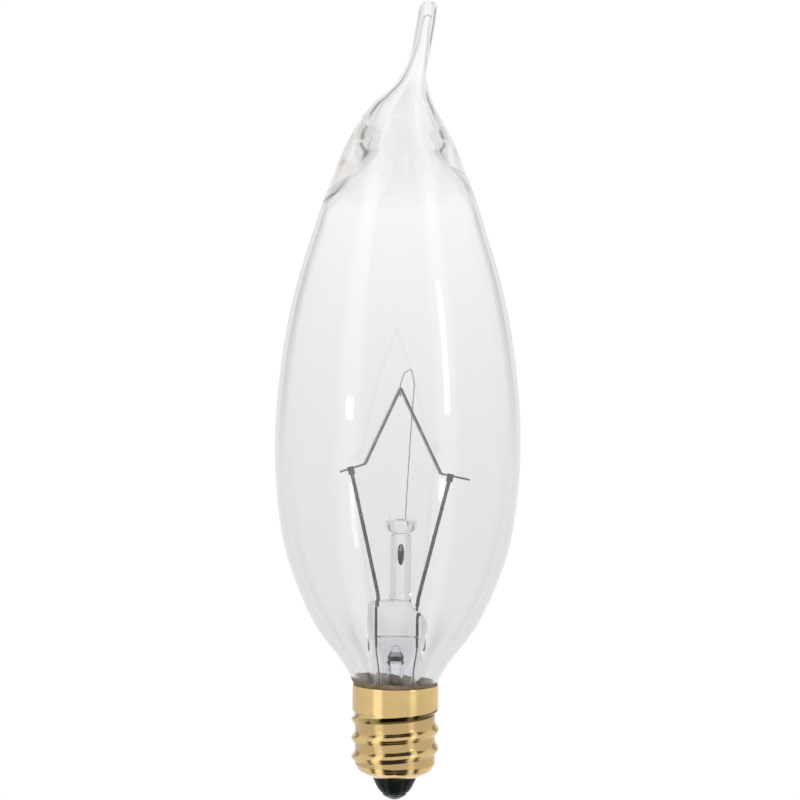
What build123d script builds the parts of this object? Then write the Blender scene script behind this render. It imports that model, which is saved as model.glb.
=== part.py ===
from build123d import *

import os

# Millimetres, +Z up along the lamp's axis, origin at the lowest point of the centre contact.
# The bent tip leans towards +X, and the filament and its leads stand in the XZ plane.

# Screw shell: rolled brass with a round thread, a plain collar above it and a turned-in foot
thread_crest_d = 11.7
thread_depth = 0.53
thread_pitch = 2.54
thread_bottom_z = 5.0
thread_top_z = 12.7
thread_crest_w = 0.45
thread_base_w = 1.5
thread_run_out = 1.1
shell_wall = 0.22
collar_d = 11.5
collar_cone_height = 0.45
rim_z = 15.65
foot_z = 3.0
foot_hole_d = 5.9
bowl_spans = 2

# Black glass insulator, contact eyelet and solder at the foot of the base
insulator_tip_d = 3.5
insulator_tip_z = 0.95
insulator_depth = 0.5
eyelet_flange_d = 3.2
eyelet_t = 0.2
eyelet_hole_d = 0.9
insulator_hole_d = 1.3
centre_solder_d = 2.9

# Glass envelope: diameters at heights above the contact
envelope_d = 32.8
envelope_z = 47.5
rim_clearance = 0.08
hip_d = 19.1
hip_z = 22.0
lower_d = 27.3
lower_z = 30.0
upper_d = 29.3
upper_z = 65.7
shoulder_d = 20.5
shoulder_z = 80.7
crown_d = 10.5
crown_z = 91.5
belly_height = 9.0
glass_wall = 0.6
lower_spans = 4
upper_spans = 5

# Cavity under the drawn tip, where the glass thickens
shoulder_wall = 0.8
throat_d = 8.8
throat_z = 87.6
throat_height = 2.4

# Drawn tail, bent sideways
tail_d = 2.6
tail_bend = 3.6
tail_flow = 8.0
tip_z = 107.0
tail_bore_d = 0.8
tail_bore_z = 101.5

# Neck inside the base, its seal to the stem and the cement round it
neck_wall = 0.7
neck_foot_z = 9.0
neck_gap = 0.34
cement_bottom_z = 9.8
cement_sink = 0.7

# Stem: flared tube pinched to a press
stem_d = 6.8
stem_wall = 0.7
flare_foot_t = 0.6
pinch_z = 17.5
press_z = 22.1
press_height = 4.8
press_width = 8.0
press_thickness = 2.6
press_edge_r = 1.0
press_web = 1.5
pinch_gap = 1.0

# Exhaust tube inside the stem, open through a hole in the pinch and tipped off in the base
exhaust_d = 2.2
exhaust_wall = 0.45
exhaust_socket = 0.6
exhaust_tip_z = 6.6
exhaust_tip_taper = 1.5
exhaust_hole_d = 0.9

# Button rod with its bubble
rod_x = 0.55
rod_d = 2.85
button_d = 4.2
button_height = 1.6
button_z = 36.4
bubble_d = 0.95
bubble_length = 2.8
bubble_z = 33.2

# Wires, drawn with flats
wire_sides = 8
inner_lead_d = 0.5
seal_wire_d = 0.36
outer_lead_d = 0.25
support_d = 0.26
left_wire_x = -2.6
right_wire_x = 2.78
lead_socket = 0.8
lead_rise = 1.6
outer_lead_gap = 0.3
lead_turn_z = 7.4

# Clamps: the flattened lead ends, folded over the filament's tails
clamp_t = 0.22
clamp_length = 0.9
clamp_lap = 1.1
left_clamp_x = -6.2
right_clamp_x = 6.85

# Filament: an inverted V of coiled wire, drawn as a slim rod of the coil's outer diameter
coil_d = 0.55
link_d = 0.3
apex_x = 0.28
apex_z = 55.5
apex_w = 0.7
apex_drop = 0.35
left_coil_x = -4.35
left_coil_z = 45.2
right_coil_x = 5.75
right_coil_z = 44.0
left_tail_x = -7.7
left_tail_z = 44.1
right_tail_x = 9.7
right_tail_z = 43.2

# Support wire from the button, hooked under the filament's apex
support_offset = 0.5
support_socket = 0.9
support_top_x = 2.1
support_top_z = 55.8
support_back = 0.65
hook_rise = 2.4
hook_gap = 0.08
hook_drop = 1.25

# Side contact at the back of the collar
side_solder_d = 1.3
side_solder_h = 0.35
side_solder_z = 14.2
side_hole_d = 0.4
channel_clearance = 0.06

# Derived sizes
crest_r = thread_crest_d / 2
root_r = crest_r - thread_depth
bore_r = root_r - shell_wall
collar_r = collar_d / 2
collar_bore_r = collar_r - shell_wall
collar_z = thread_top_z + collar_cone_height
foot_r = foot_hole_d / 2
foot_inside_z = foot_z + shell_wall
insulator_top_z = thread_bottom_z + insulator_depth
flange_z = insulator_tip_z - eyelet_t
neck_r = bore_r - neck_gap
neck_bore_r = neck_r - neck_wall
rim_glass_r = collar_bore_r - rim_clearance
cement_top_z = rim_z - cement_sink
stem_r = stem_d / 2
stem_bore_r = stem_r - stem_wall
flare_foot_z = neck_foot_z - flare_foot_t
web_z = press_z - press_web
press_top_z = press_z + press_height
exhaust_r = exhaust_d / 2
exhaust_bore_r = exhaust_r - exhaust_wall
exhaust_top_z = web_z + exhaust_socket
seal_top_z = press_top_z - lead_socket
button_top_z = button_z + button_height
lead_r = inner_lead_d / 2
outer_lead_r = outer_lead_d / 2
link_r = link_d / 2
support_x = rod_x + support_offset


def turned(*points):
    """A solid of revolution about the lamp's axis through outline points given as (radius, height)."""
    return revolve(make_face(Polyline(*[(r, 0, z) for r, z in points], close=True)), Axis.Z)


def stations(curve, spans):
    """Points at even steps along a curve in the XZ plane, as (radius, height)."""
    places = [curve @ (step / spans) for step in range(spans + 1)]
    return [(place.X, place.Z) for place in places]


def wire_along(points, diameter):
    """A thin wire through points, with mitred bends."""
    path = Polyline(*points)
    section = Plane(path @ 0, z_dir=path % 0) * RegularPolygon(diameter / 2, wire_sides)
    return sweep(section, path=path, transition=Transition.RIGHT)


def bowl_stations(top_r, edge_z):
    """The rounded foot of the shell, from the thread's lower end in to the foot hole."""
    arc = TangentArc((top_r, 0, thread_bottom_z), (foot_r, 0, edge_z), tangent=(0, 0, -1))
    return stations(arc, bowl_spans)


def thread_ridge():
    """The ridge of the round thread on its helix, faded into the wall at both ends."""
    height = thread_top_z - thread_bottom_z
    sunk = shell_wall / 2
    path = Helix(thread_pitch, height, root_r, center=(0, 0, thread_bottom_z))
    section = Polygon(
        (-sunk, -thread_base_w / 2),
        (thread_depth, -thread_crest_w / 2),
        (thread_depth, thread_crest_w / 2),
        (-sunk, thread_base_w / 2),
        align=None,
    )
    ridge = sweep(Plane(path @ 0, x_dir=(1, 0, 0), z_dir=path % 0) * section, path=path, is_frenet=True)
    limit = turned(
        (0, thread_bottom_z),
        (root_r - sunk, thread_bottom_z),
        (crest_r, thread_bottom_z + thread_run_out),
        (crest_r, thread_top_z - thread_run_out),
        (root_r - sunk, thread_top_z),
        (0, thread_top_z),
    )
    return ridge & limit


def shell_inside():
    """What the shell leaves free inside, from its foot hole up past the rim."""
    return turned(
        (0, foot_inside_z),
        *reversed(bowl_stations(bore_r, foot_inside_z)),
        (bore_r, thread_top_z),
        (collar_bore_r, collar_z),
        (collar_bore_r, rim_z),
        (0, rim_z),
    )


def screw_shell():
    outside = turned(
        (0, foot_z),
        *reversed(bowl_stations(root_r, foot_z)),
        (root_r, thread_top_z),
        (collar_r, collar_z),
        (collar_r, rim_z),
        (0, rim_z),
    )
    foot_hole = Pos(0, 0, foot_z) * extrude(Circle(foot_r), shell_wall)
    side_hole = Plane((0, bore_r, side_solder_z), z_dir=(0, 1, 0)) * extrude(
        Circle(side_hole_d / 2), collar_r - bore_r
    )
    return outside + thread_ridge() - shell_inside() - foot_hole - side_hole


def base_insulator():
    return turned(
        (insulator_hole_d / 2, insulator_top_z),
        (bore_r, insulator_top_z),
        *bowl_stations(bore_r, foot_inside_z),
        (foot_r, foot_z),
        (insulator_tip_d / 2, insulator_tip_z),
        (insulator_hole_d / 2, insulator_tip_z),
    )


def centre_contact():
    return turned(
        (eyelet_hole_d / 2, flange_z),
        (eyelet_flange_d / 2, flange_z),
        (eyelet_flange_d / 2, insulator_tip_z),
        (eyelet_hole_d / 2, insulator_tip_z),
    )


def centre_solder():
    solder_r = centre_solder_d / 2
    return turned((0, 0), (solder_r / 2, 0), (solder_r, flange_z), (0, flange_z))


def lower_curve(inset, rim_inset):
    """The blown glass from the shell's rim out to the belly, moved in from the outside by an inset."""
    return Spline(
        (rim_glass_r - rim_inset, 0, rim_z),
        (hip_d / 2 - inset, 0, hip_z),
        (lower_d / 2 - inset, 0, lower_z),
        (envelope_d / 2 - inset, 0, envelope_z - belly_height / 2),
        tangents=[(0.5, 0, 1), (0, 0, 1)],
    )


def upper_curve(inset, shoulder_inset):
    """The blown glass from the belly up to the shoulder, moved in from the outside by an inset."""
    return Spline(
        (envelope_d / 2 - inset, 0, envelope_z + belly_height / 2),
        (upper_d / 2 - inset, 0, upper_z),
        (shoulder_d / 2 - shoulder_inset, 0, shoulder_z),
        tangents=[(0, 0, 1), (-0.42 - shoulder_inset / 12, 0, 1)],
    )


def crown_curve():
    """The outside from the shoulder to the crown, where the tail begins."""
    return Spline(
        (shoulder_d / 2, 0, shoulder_z),
        (crown_d / 2, 0, crown_z),
        tangents=[(-0.42, 0, 1), (-0.58, 0, 1)],
    )


def tail_lean(z):
    """How far the tail's middle has bent sideways at a height."""
    share = (z - crown_z) / (tip_z - crown_z)
    return tail_bend * share * (1.7 - 0.7 * share)


def tail():
    """The drawn tail: round sections that shrink from the crown and lean over, with a domed end."""
    tail_r = tail_d / 2
    sections = [Pos(0, 0, crown_z) * Circle(crown_d / 2)]
    for share in (0.3, 0.5, 0.72, 1):
        z = crown_z + tail_flow * share
        radius = tail_r + (crown_d / 2 - tail_r) * (1 - share) ** 1.6
        sections.append(Pos(tail_lean(z), 0, z) * Circle(radius))
    for radius, drop in ((tail_r, 0.7), (tail_r * 0.5, 0)):
        z = tip_z - drop * tail_r
        sections.append(Pos(tail_lean(z), 0, z) * Circle(radius))
    return loft(sections, ruled=True)


def tail_bore():
    """The fine straight hole left in the middle of the drawn tail."""
    start = Vector(0, 0, throat_z)
    end = Vector(tail_lean(tail_bore_z), 0, tail_bore_z)
    return Plane(start, z_dir=end - start) * extrude(Circle(tail_bore_d / 2), (end - start).length)


def glass_envelope():
    body = turned(
        (0, neck_foot_z),
        (neck_r, neck_foot_z),
        (neck_r, thread_top_z),
        *stations(lower_curve(0, 0), lower_spans),
        *stations(upper_curve(0, 0), upper_spans - 2),
        *stations(crown_curve(), 2)[1:],
        (0, crown_z),
    )
    cavity = turned(
        (0, neck_foot_z),
        (neck_bore_r, neck_foot_z),
        (neck_bore_r, thread_top_z),
        *stations(lower_curve(glass_wall, neck_wall), lower_spans - 1),
        *stations(upper_curve(glass_wall, shoulder_wall), upper_spans - 2),
        (throat_d / 2, throat_z),
        (throat_d / 2, throat_z + throat_height),
        (0, throat_z + throat_height),
    )
    return body + tail() - cavity - tail_bore()


def base_cement():
    ring = turned(
        (neck_r, cement_bottom_z),
        (bore_r, cement_bottom_z),
        (bore_r, thread_top_z),
        (collar_bore_r, collar_z),
        (collar_bore_r, cement_top_z),
        (rim_glass_r, cement_top_z),
        (neck_r, thread_top_z),
    )
    channel = Pos(0, collar_bore_r, cement_bottom_z) * Box(
        outer_lead_d + 2 * channel_clearance,
        2 * (collar_bore_r - neck_r + channel_clearance),
        cement_top_z - cement_bottom_z,
        align=(Align.CENTER, Align.CENTER, Align.MIN),
    )
    return ring - channel


def exhaust_body():
    """The exhaust tube's outside, from its socket in the pinch down to the tipped-off end."""
    return turned(
        (0, exhaust_tip_z),
        (exhaust_r, exhaust_tip_z + exhaust_tip_taper),
        (exhaust_r, exhaust_top_z),
        (0, exhaust_top_z),
    )


def exhaust_hole():
    """The hole that joins the exhaust tube to the inside of the envelope, towards the front."""
    hole_z = exhaust_top_z - exhaust_hole_d
    return Plane((0, 0, hole_z), z_dir=(0, -1, 0)) * extrude(Circle(exhaust_hole_d / 2), stem_r)


def exhaust_tube():
    bore = turned(
        (0, exhaust_tip_z + exhaust_tip_taper),
        (exhaust_bore_r, exhaust_tip_z + exhaust_tip_taper),
        (exhaust_bore_r, exhaust_top_z),
        (0, exhaust_top_z),
    )
    return exhaust_body() - bore - exhaust_hole()


def seal_wire(x):
    return wire_along([(x, 0, web_z), (x, 0, seal_top_z)], seal_wire_d)


def jaw_cone(foot_r, top_r, top_y, top_z):
    """The round tube going over into the flat press: a cone with two faces left by the pinching jaws."""
    cone = turned((0, pinch_z), (foot_r, pinch_z), (top_r, top_z), (0, top_z))
    wedge = Polyline((foot_r, pinch_z), (top_y, top_z), (-top_y, top_z), (-foot_r, pinch_z), close=True)
    return cone & extrude(Plane.YZ * make_face(wedge), top_r, both=True)


def stem_flare():
    tube = turned(
        (stem_bore_r, flare_foot_z),
        (neck_r, flare_foot_z),
        (neck_r, neck_foot_z),
        (stem_r, neck_foot_z),
        (stem_r, pinch_z),
        (stem_bore_r, pinch_z),
    )
    pinch = jaw_cone(stem_r, press_width / 2, press_thickness / 2, press_z)
    pinch_inside = jaw_cone(stem_bore_r, press_width / 2 - stem_wall, pinch_gap / 2, web_z)
    press = Pos(0, 0, press_z) * extrude(
        RectangleRounded(press_width, press_thickness, press_edge_r), press_height
    )
    glass = tube + (pinch - pinch_inside) + press - exhaust_body() - exhaust_hole()
    for x in (left_wire_x, right_wire_x):
        glass -= seal_wire(x)
        glass -= lead_foot(x)
    return glass


def lead_foot(x):
    """The straight foot of an inner lead, sunk in the press and standing a little above it."""
    return wire_along([(x, 0, seal_top_z), (x, 0, press_top_z + lead_rise)], inner_lead_d)


def clamp_plane(x, z, run):
    """A plane across a filament tail at its clamp, local X to the back and local Y upwards."""
    return Plane((x, 0, z), x_dir=(0, 1, 0), z_dir=run)


def inner_lead(wire_x, clamp_x, clamp_z, run):
    """A lead from the press to the filament, its flattened end folded over the filament's tail."""
    fold_r = link_r + clamp_t
    fold = Circle(fold_r) + Pos(0, -clamp_lap / 2) * Rectangle(2 * fold_r, clamp_lap)
    slot = Circle(link_r) + Pos(0, -clamp_lap / 2) * Rectangle(2 * link_r, clamp_lap)
    plane = clamp_plane(clamp_x, clamp_z, run)
    clamp = plane * extrude(fold - slot, clamp_length / 2, both=True)
    top = plane.from_local_coords((link_r + clamp_t / 2, -clamp_lap * 0.7, 0))
    wire = wire_along([(wire_x, 0, seal_top_z), (wire_x, 0, press_top_z + lead_rise), top], inner_lead_d)
    return wire + clamp


def left_run():
    return Vector(left_coil_x - left_tail_x, 0, left_coil_z - left_tail_z)


def right_run():
    return Vector(right_tail_x - right_coil_x, 0, right_tail_z - right_coil_z)


def left_inner_lead():
    share = (left_clamp_x - left_tail_x) / left_run().X
    return inner_lead(left_wire_x, left_clamp_x, left_tail_z + share * left_run().Z, left_run())


def right_inner_lead():
    share = (right_clamp_x - right_coil_x) / right_run().X
    return inner_lead(right_wire_x, right_clamp_x, right_coil_z + share * right_run().Z, right_run())


def filament():
    left_foot = (left_coil_x, 0, left_coil_z)
    right_foot = (right_coil_x, 0, right_coil_z)
    shoulder_left = (apex_x - apex_w / 2, 0, apex_z - apex_drop)
    shoulder_right = (apex_x + apex_w / 2, 0, apex_z - apex_drop)
    coil = wire_along([left_foot, shoulder_left, (apex_x, 0, apex_z), shoulder_right, right_foot], coil_d)
    left_tail = wire_along([left_foot, (left_tail_x, 0, left_tail_z)], link_d)
    right_tail = wire_along([right_foot, (right_tail_x, 0, right_tail_z)], link_d)
    return coil + left_tail + right_tail


def support_wire():
    reach = coil_d / 2 + support_d / 2 + hook_gap
    hook_z = apex_z - hook_drop
    return wire_along(
        [
            (support_x, 0, button_top_z - support_socket),
            (support_x, 0, button_top_z + support_socket),
            (support_top_x, support_back, support_top_z),
            (support_top_x - reach, support_back, support_top_z + hook_rise),
            (apex_x + reach, -reach, support_top_z + hook_rise * 0.7),
            (apex_x, -reach, apex_z),
            (apex_x, -reach, hook_z),
            (apex_x, reach, hook_z),
        ],
        support_d,
    )


def button_rod():
    button_r = button_d / 2
    rod = turned(
        (0, press_top_z),
        (rod_d / 2, press_top_z),
        (rod_d / 2, button_z),
        (button_r, button_z),
        (button_r, button_top_z),
        (0, button_top_z),
    )
    bubble = Pos(0, 0, bubble_z) * Cylinder(bubble_d / 2, bubble_length)
    return Pos(rod_x, 0, 0) * (rod - bubble) - support_wire()


def outer_lead_start(x):
    """The upper end of an outer lead: out of the pinch and clear of the stem's wall."""
    side = 1 if x > 0 else -1
    inside_x = side * (stem_bore_r - outer_lead_gap - outer_lead_r)
    return [(x, 0, web_z), (x, 0, web_z - outer_lead_gap), (inside_x, 0, pinch_z)]


def right_outer_lead():
    """Runs down beside the exhaust tube, under its tip and through the eyelet to the solder."""
    start = outer_lead_start(right_wire_x)
    run_x = start[-1][0]
    low_z = (exhaust_tip_z + insulator_top_z) / 2
    return wire_along([*start, (run_x, 0, lead_turn_z), (0, 0, low_z), (0, 0, flange_z)], outer_lead_d)


def left_outer_lead():
    """Runs down the stem, under its foot, up beside the neck and out through the collar."""
    start = outer_lead_start(left_wire_x)
    run_x = start[-1][0]
    rise_y = (neck_r + bore_r) / 2
    under_z = flare_foot_z - outer_lead_d * 2
    return wire_along(
        [
            *start,
            (run_x, 0, flare_foot_z + outer_lead_d),
            (run_x, rise_y / 2, under_z),
            (0, rise_y, under_z),
            (0, rise_y, thread_top_z),
            (0, collar_bore_r - outer_lead_d, side_solder_z),
            (0, collar_r, side_solder_z),
        ],
        outer_lead_d,
    )


def side_solder():
    """A flat solder spot on the collar, over the hole that the lead comes through."""
    spot = Plane((0, 0, side_solder_z), z_dir=(0, 1, 0)) * extrude(
        Circle(side_solder_d / 2), collar_r + side_solder_h
    )
    collar = Pos(0, 0, collar_z) * Cylinder(
        collar_r, rim_z - collar_z, align=(Align.CENTER, Align.CENTER, Align.MIN)
    )
    return spot - collar


PIECES = {
    "glass_envelope": glass_envelope,
    "stem_flare": stem_flare,
    "exhaust_tube": exhaust_tube,
    "button_rod": button_rod,
    "left_inner_lead": left_inner_lead,
    "right_inner_lead": right_inner_lead,
    "left_seal_wire": lambda: seal_wire(left_wire_x),
    "right_seal_wire": lambda: seal_wire(right_wire_x),
    "left_outer_lead": left_outer_lead,
    "right_outer_lead": right_outer_lead,
    "filament": filament,
    "support_wire": support_wire,
    "screw_shell": screw_shell,
    "base_insulator": base_insulator,
    "centre_contact": centre_contact,
    "centre_solder": centre_solder,
    "side_solder": side_solder,
    "base_cement": base_cement,
}

os.makedirs("parts", exist_ok=True)
for name, make in PIECES.items():
    export_step(make(), f"parts/{name}.step")
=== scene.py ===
from math import asin, atan2, copysign, cos, degrees, hypot, pi, radians, sin, tan, tau

import bmesh
import bpy
from bmesh.types import BMEdge, BMVert
from bpy.props import FloatProperty, FloatVectorProperty, PointerProperty
from bpy.types import Operator, Panel, PropertyGroup
from mathutils import Matrix, Vector


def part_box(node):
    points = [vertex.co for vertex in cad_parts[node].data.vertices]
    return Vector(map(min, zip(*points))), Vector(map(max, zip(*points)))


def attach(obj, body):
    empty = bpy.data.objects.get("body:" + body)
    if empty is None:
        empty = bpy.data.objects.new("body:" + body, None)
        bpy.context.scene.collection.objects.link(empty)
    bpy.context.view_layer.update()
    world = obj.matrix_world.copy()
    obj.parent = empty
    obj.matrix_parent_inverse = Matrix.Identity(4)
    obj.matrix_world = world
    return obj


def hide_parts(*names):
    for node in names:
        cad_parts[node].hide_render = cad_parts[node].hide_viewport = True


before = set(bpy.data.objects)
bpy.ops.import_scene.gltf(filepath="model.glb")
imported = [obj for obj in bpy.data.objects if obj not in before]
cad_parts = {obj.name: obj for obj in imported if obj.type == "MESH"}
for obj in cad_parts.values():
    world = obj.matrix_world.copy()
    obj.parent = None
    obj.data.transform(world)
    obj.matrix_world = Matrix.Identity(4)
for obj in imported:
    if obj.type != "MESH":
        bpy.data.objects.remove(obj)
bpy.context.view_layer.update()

bl_info = {
    "name": "Flame-tip bulb",
    "version": (1, 0, 0),
    "blender": (4, 5, 0),
    "location": "3D View > Sidebar > Bulb",
    "description": "Dresses the bent-tip bulb with blown glass, a wired mount and a brass screw base",
    "category": "Object",
}

MM = 0.001
GLASS_LOW, GLASS_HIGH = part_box("glass_envelope")
SHELL_LOW, SHELL_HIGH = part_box("screw_shell")
TURN_STEPS = 160
THREAD_STEPS = 224
MERGE_DISTANCE = 1e-7
WHITE = (1, 1, 1, 1)

# Bounces after which glass lets a ray straight through
PASSING_DEPTHS = (("Glossy Depth", 2.5), ("Transmission Depth", 7.5))

# Glass of the neck, the stem and the rod, in millimetres
NECK_RADIUS = 4.76
NECK_BORE = 4.06
NECK = [(NECK_RADIUS, 12.2, 0.03), (5.42, 15.5, 0.45), (7.3, 18.7, 0.65)]
FLARE_FOOT = 8.4
FLARE_TOP = 11.6
STEM_WALL = 0.7
PINCH_LOW = 16.8
WEB = 22.3
PRESS_LOW = 22.6
PRESS_HIGH = 26.9
PRESS_LEAN = 0.024
SLUMP = 0.117
SLUMP_START = -0.8
ROD_X = 0.55
ROD_SEAT = 27.0
SLUMP_REACH = 4.0

# Wires of the mount, in millimetres
SEAL_X = {"left": -2.6, "right": 2.78}
SEAL_LOW = 20.7
SEAL_HIGH = 26.05
COIL_LEFT = (-4.35, 0, 45.2)
COIL_PEAK = (0.28, 0, 55.4)
COIL_RIGHT = (5.75, 0, 44.0)
CLAMP_FOLD = 0.26
CLAMP_RISE = 0.85
CLAMP_LAP = 0.75
CLAMP_HALF_WIDTH = 0.42
CLAMP_THICKNESS = 0.1

# Brass shell with its thread, in millimetres
RIM = 15.65
THREAD_LOW = 4.9
THREAD_HIGH = 12.3
FIRST_CREST = 6.45
RIDGE_START = 4.7
RIDGE_POWER = 1.8
FOOT_TUCK = 0.16
UNDERCUT = 0.14
STEP_DROP = 0.5
STEP_HEIGHT = 0.95
RUN_OUT_START = 10.95
COLLAR_START = 11.75
# Share of painted shade in the thread's roots
ROOT_SHADE = 0.32

# Stage in metres, and its directions in degrees
FLOOR_SIZE = 6.0
CARD_FLOOR = -0.115
CARD_RADIUS = 0.6
CARD_HALF_TURN = 165.0
CARD_DARK = 0.04
CARD_STRIPS = ((-24.0, 6.0, 1.3), (24.4, 4.3, 1.15))
SOFTBOX_REACH = 0.5
SOFTBOX_TARGET = Vector((0, 0, 0.05))
CAMERA_TARGET = Vector((0.25, 0, 53.8)) * MM
SENSOR_WIDTH = 36.0
PICTURE_WIDTH = 800


def length(label, words, default):
    """A length in metres for the sidebar."""
    return FloatProperty(name=label, description=words, default=default, min=0.0, precision=5, unit="LENGTH")


def colour(label, words, default):
    """A plain colour for the sidebar."""
    return FloatVectorProperty(
        name=label, description=words, default=default, min=0.0, max=1.0, subtype="COLOR"
    )


def tilt(label, words, default):
    """An angle in degrees for the sidebar."""
    return FloatProperty(name=label, description=words, default=radians(default), subtype="ANGLE")


def portion(label, words, default):
    """A share of full brightness for the sidebar."""
    return FloatProperty(name=label, description=words, default=default, min=0.0, max=1.0, subtype="FACTOR")


class BulbGlassSettings(PropertyGroup):
    belly_diameter: length("Belly", "Widest diameter of the blown glass", GLASS_HIGH.y - GLASS_LOW.y)
    tip_height: length("Tip height", "Top of the drawn tail above the contact", GLASS_HIGH.z)
    wall: length("Wall", "Thickness of the blown wall", 0.6 * MM)
    foot_height: length("Neck foot", "Lower end of the neck inside the base", GLASS_LOW.z)
    tint: colour("Tint", "Colour of light that passes through the glass", (0.985, 0.988, 1.0))
    # Painted shade: the glass takes this greyer colour towards its neck
    neck_shade_tint: colour("Low tint", "Colour of light that passes near the neck", (0.885, 0.886, 0.893))
    depth_tint: colour("Depth tint", "Colour that thick glass takes on", (0.65, 0.59, 0.51))


class BulbMountSettings(PropertyGroup):
    stem_radius: length("Stem radius", "Outside of the round stem tube", 3.4 * MM)
    press_width: length("Press width", "Width of the flat press", 8.0 * MM)
    press_depth: length("Press depth", "Thickness of the flat press", 2.6 * MM)
    rod_diameter: length("Rod", "Diameter of the glass rod", 2.85 * MM)
    button_diameter: length("Button", "Diameter of the button on the rod", 4.2 * MM)
    lead_diameter: length("Inner lead", "Diameter of the nickel leads", 0.5 * MM)
    seal_diameter: length("Seal wire", "Diameter of the wires sealed in the press", 0.34 * MM)
    outer_diameter: length("Outer lead", "Diameter of the leads in the base", 0.25 * MM)
    coil_diameter: length("Coil", "Outside diameter of the filament's coil", 0.55 * MM)
    coil_wire: length("Coil wire", "Diameter of the wire in the coil", 0.13 * MM)
    coil_pitch: length("Coil pitch", "Distance between turns of the coil", 0.2 * MM)
    tail_diameter: length("Coil tail", "Diameter of the filament's straight tails", 0.28 * MM)
    support_diameter: length("Support", "Diameter of the support wire", 0.15 * MM)
    nickel: colour("Nickel", "Colour of the inner leads", (0.2, 0.19, 0.175))
    copper: colour("Copper", "Colour of the seal wires and outer leads", (0.22, 0.18, 0.155))
    tungsten: colour("Tungsten", "Colour of the filament", (0.4, 0.39, 0.38))


class BulbBaseSettings(PropertyGroup):
    crest_diameter: length("Thread", "Diameter over the thread's crests", SHELL_HIGH.x - SHELL_LOW.x)
    thread_depth: length("Thread depth", "Height of the crests above the roots", 0.5 * MM)
    thread_pitch: length("Pitch", "Rise of the thread in one turn", 2.54 * MM)
    collar_diameter: length("Collar", "Diameter of the plain collar", 11.5 * MM)
    wall: length("Shell wall", "Thickness of the rolled brass", 0.22 * MM)
    brass: colour("Brass", "Colour of the clean brass", (0.83, 0.6, 0.27))
    # Dark brass colour for the painted shade in the thread's roots and under the collar, and for random
    # tarnish patches
    shaded_and_tarnished_brass: colour("Tarnish", "Colour of stained brass under the collar", (0.12, 0.075, 0.025))


class BulbStageSettings(PropertyGroup):
    distance: length("Camera distance", "From the camera to the middle of the bulb", 1.0)
    scale: FloatProperty(name="Scale", description="Image pixels per millimetre at the bulb", default=7.52)
    elevation: tilt("Elevation", "Camera height as an angle", 6.5)
    roll: tilt("Roll", "Turn of the camera about its view", 0.54)
    floor_drop: length("Floor drop", "Floor below the contact of the held bulb", 0.12)
    even_light: portion("Even light", "Strength of the light from all round", 0.7)
    floor_tone: portion("Floor", "Grey of the floor", 0.86)
    floor_glow: portion("Floor glow", "What the floor adds where it is the background", 0.407)
    card_tone: portion("Card", "Brightness of the card round the bulb", 0.84)
    flag_depth: portion("Flags", "How much darker the card is beside the backdrop", 0.45)


# Modelling helpers


def level(knots, height):
    """The value at a height on a smooth line through knots of (value, height, slope)."""
    for (start, low, slope_low), (end, high, slope_high) in zip(knots, knots[1:]):
        if height <= high:
            span = high - low
            t = max(0.0, (height - low) / span)
            rise = start * (1 + 2 * t) * (1 - t) ** 2 + end * t * t * (3 - 2 * t)
            return rise + span * (slope_low * t * (1 - t) ** 2 + slope_high * t * t * (t - 1))
    return knots[-1][0]


def fade(value, start, run):
    """Rises softly from nought to one as a value goes from a start through a run."""
    share = min(1.0, max(0.0, (value - start) / run))
    return share * share * (3 - 2 * share)


def flow(knots, step=0.45):
    """Points along a smooth outline through knots of (radius, height, slope), all in millimetres."""
    points = []
    for (_, low, _), (_, high, _) in zip(knots, knots[1:]):
        spans = max(1, round((high - low) / step))
        heights = [low + (high - low) * i / spans for i in range(spans)]
        points += [(level(knots, z), z) for z in heights]
    return points + [knots[-1][:2]]


def straight(radius, low, high, spans):
    """Points up a straight wall in even steps, without its foot, in millimetres."""
    return [(radius, low + (high - low) * i / spans) for i in range(1, spans + 1)]


def dome(radius, low, high, steps=10):
    """Points of a rounded end that closes on the axis, without its foot, in millimetres."""
    turns = [pi / 2 * i / steps for i in range(1, steps + 1)]
    return [(radius * cos(a), low + (high - low) * sin(a)) for a in turns]


def only(kind, geometry):
    """The vertices or the edges in a mixed list."""
    return [item for item in geometry if isinstance(item, kind)]


def faces_of(verts):
    """The faces that meet at some vertices."""
    return list({f for v in verts for f in v.link_faces})


def turn(bm, points, steps=TURN_STEPS, soften=0.0):
    """Spins an outline of (radius, height) in millimetres about the bulb's axis. Returns the new vertices."""
    before = set(bm.verts)
    line = [bm.verts.new((r * MM, 0, z * MM)) for r, z in points]
    edges = [bm.edges.new(pair) for pair in zip(line, line[1:])]
    if soften:
        corners = [v for v in line if len(v.link_edges) == 2]
        bmesh.ops.bevel(
            bm, geom=corners, offset=soften * MM, offset_type="OFFSET", segments=4,
            profile=0.5, affect="VERTICES", material=-1,
        )
        fresh = [v for v in bm.verts if v not in before]
        edges = list({e for v in fresh for e in v.link_edges})
    outline = list({v for e in edges for v in e.verts}) + edges
    bmesh.ops.spin(bm, geom=outline, cent=(0, 0, 0), axis=(0, 0, 1), angle=tau, steps=steps, use_merge=True)
    bmesh.ops.remove_doubles(bm, verts=[v for v in bm.verts if v not in before], dist=MERGE_DISTANCE)
    return [v for v in bm.verts if v not in before]


def turned(points, soften):
    """A closed turned piece with softened corners."""
    bm = bmesh.new()
    turn(bm, points, soften=soften)
    bmesh.ops.recalc_face_normals(bm, faces=bm.faces)
    return bm


def two_walls(outside, inside, move_outside, move_inside):
    """A hollow turned piece: two walls that share a foot ring, each bent by its own function."""
    bm = bmesh.new()
    for points, move in ((outside, move_outside), (outside[:1] + inside, move_inside)):
        for vert in turn(bm, points):
            vert.co = move(vert.co / MM) * MM
    bmesh.ops.remove_doubles(bm, verts=bm.verts, dist=MERGE_DISTANCE)
    bmesh.ops.recalc_face_normals(bm, faces=bm.faces)
    return bm


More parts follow.
